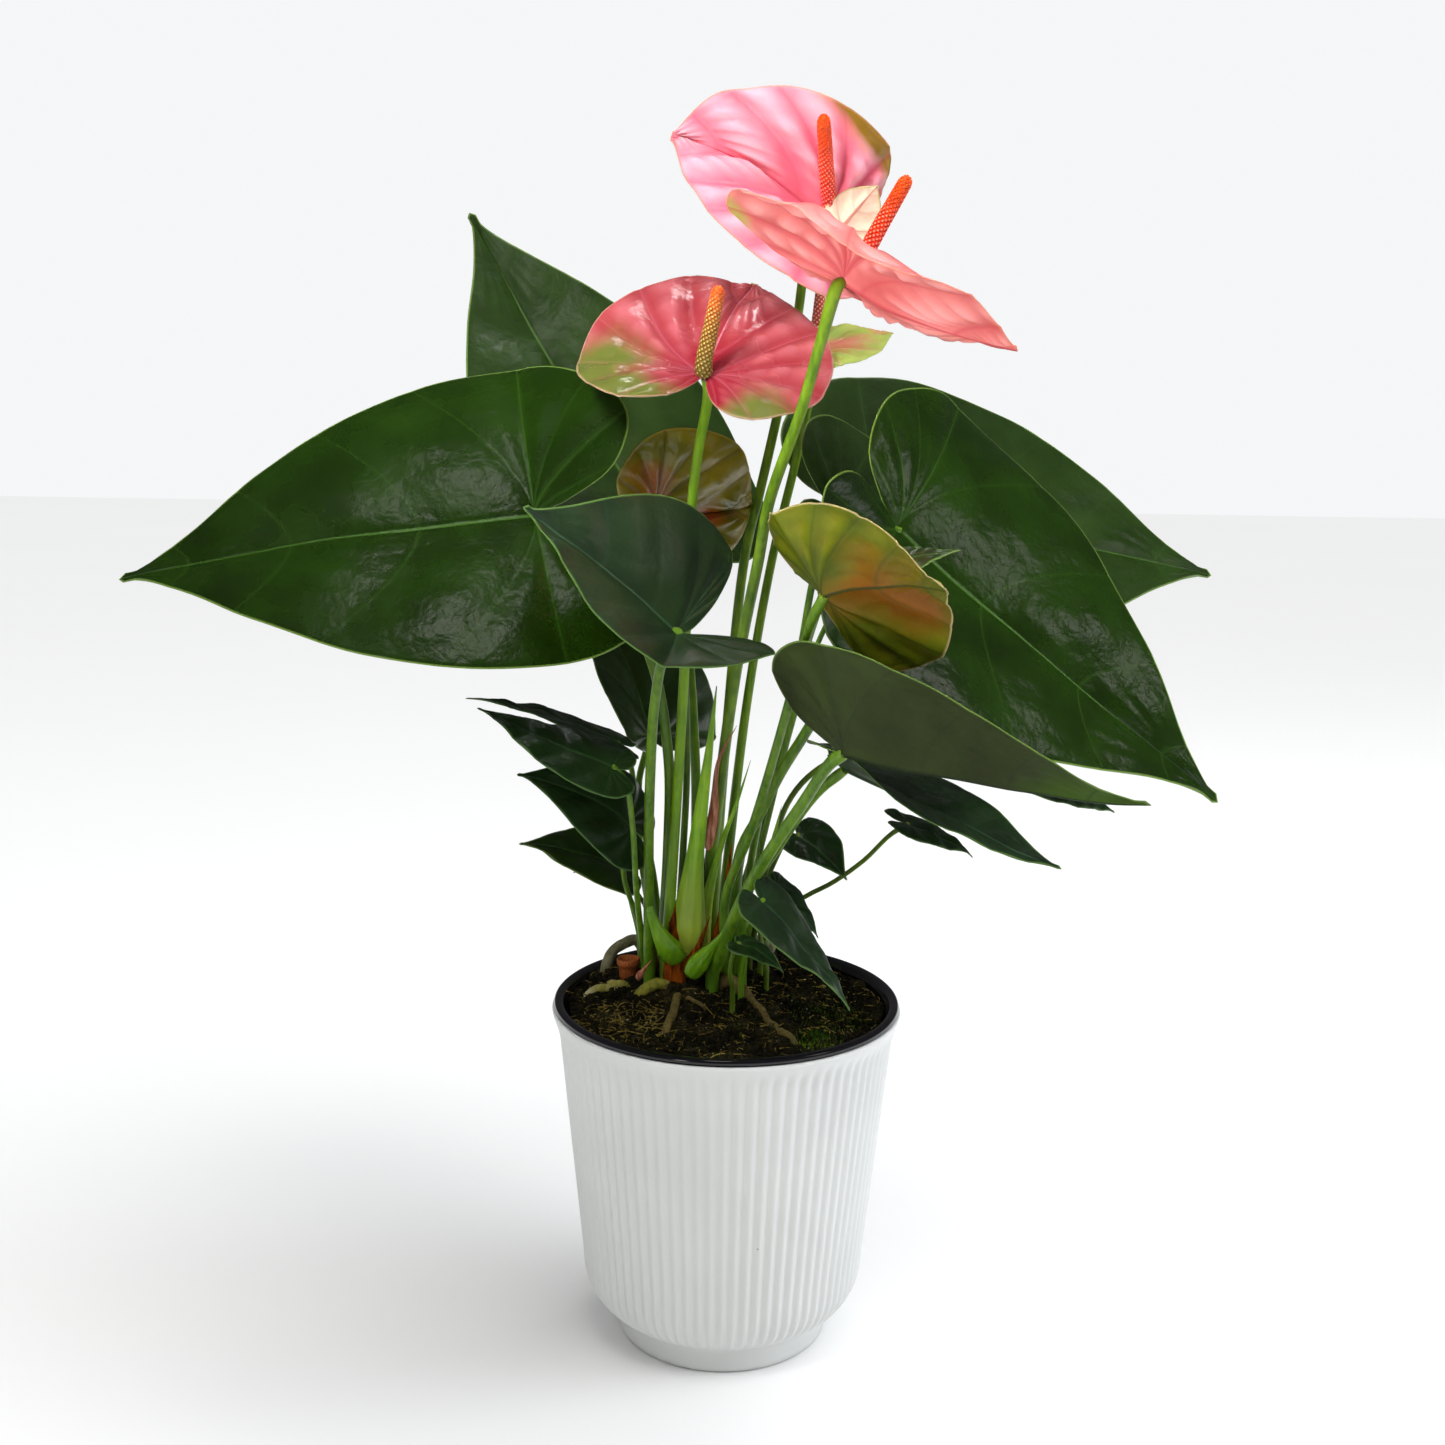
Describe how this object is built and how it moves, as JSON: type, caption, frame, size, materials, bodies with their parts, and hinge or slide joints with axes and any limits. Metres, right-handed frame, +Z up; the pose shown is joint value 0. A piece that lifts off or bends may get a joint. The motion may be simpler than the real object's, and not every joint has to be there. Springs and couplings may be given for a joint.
{
  "type": "potted flowering plant",
  "caption": "Potted anthurium with glossy heart-shaped leaves and pink hooded blooms, in a black nursery pot set into a ribbed white cover pot.",
  "frame": {"origin": "centre of the cover pot's flat foot", "axes": "+Z up, +X to the right of the front view, the front faces -Y"},
  "size_m": [0.3838, 0.2391, 0.4304],
  "materials": {
    "white_plastic": "satin white polypropylene",
    "black_plastic": "glossy black polypropylene",
    "peat": null,
    "leaf_green": null,
    "leaf_bronze": null,
    "stalk_green": null,
    "spathe_pink": null,
    "spadix_orange": null,
    "sheath_green": null,
    "bract_brown": null,
    "root_grey": "rough grey-brown aerial root",
    "plug_brown": "dull brown rooting plug"
  },
  "bodies": {
    "root": {"bract_brown": "bract_brown", "cover_pot": "white_plastic", "flower_back_spadix": "spadix_orange", "flower_back_spathe": "spathe_pink", "flower_back_stalk": "stalk_green", "flower_front_spadix": "spadix_orange", "flower_front_spathe": "spathe_pink", "flower_front_stalk": "stalk_green", "flower_left_spadix": "spadix_orange", "flower_left_spathe": "spathe_pink", "flower_left_stalk": "stalk_green", "flower_top_spadix": "spadix_orange", "flower_top_spathe": "spathe_pink", "flower_top_stalk": "stalk_green", "leaf_back_left_tall": "leaf_green", "leaf_back_right": "leaf_green", "leaf_front_hanging": "leaf_green", "leaf_front_left": "leaf_green", "leaf_front_right": "leaf_green", "leaf_front_small": "leaf_green", "leaf_left_large": "leaf_green", "leaf_left_low": "leaf_green", "leaf_left_lowest": "leaf_green", "leaf_left_narrow": "leaf_green", "leaf_left_slim": "leaf_green", "leaf_left_tiny": "leaf_green", "leaf_middle_back": "leaf_green", "leaf_right_hidden": "leaf_green", "leaf_right_inner": "leaf_green", "leaf_right_large": "leaf_green", "leaf_right_low": "leaf_green", "leaf_right_round": "leaf_green", "leaf_right_small": "leaf_green", "leaf_soil_tiny": "leaf_green", "nursery_pot": "black_plastic", "root_cream": "root_grey", "root_front": "root_grey", "root_left": "root_grey", "root_right": "root_grey", "root_tan": "root_grey", "rooting_plug": "plug_brown", "sheath_large": "sheath_green", "sheath_second": "sheath_green", "soil": "peat", "young_leaf_left": "leaf_bronze", "young_leaf_right": "leaf_bronze"}
  },
  "joints": []
}
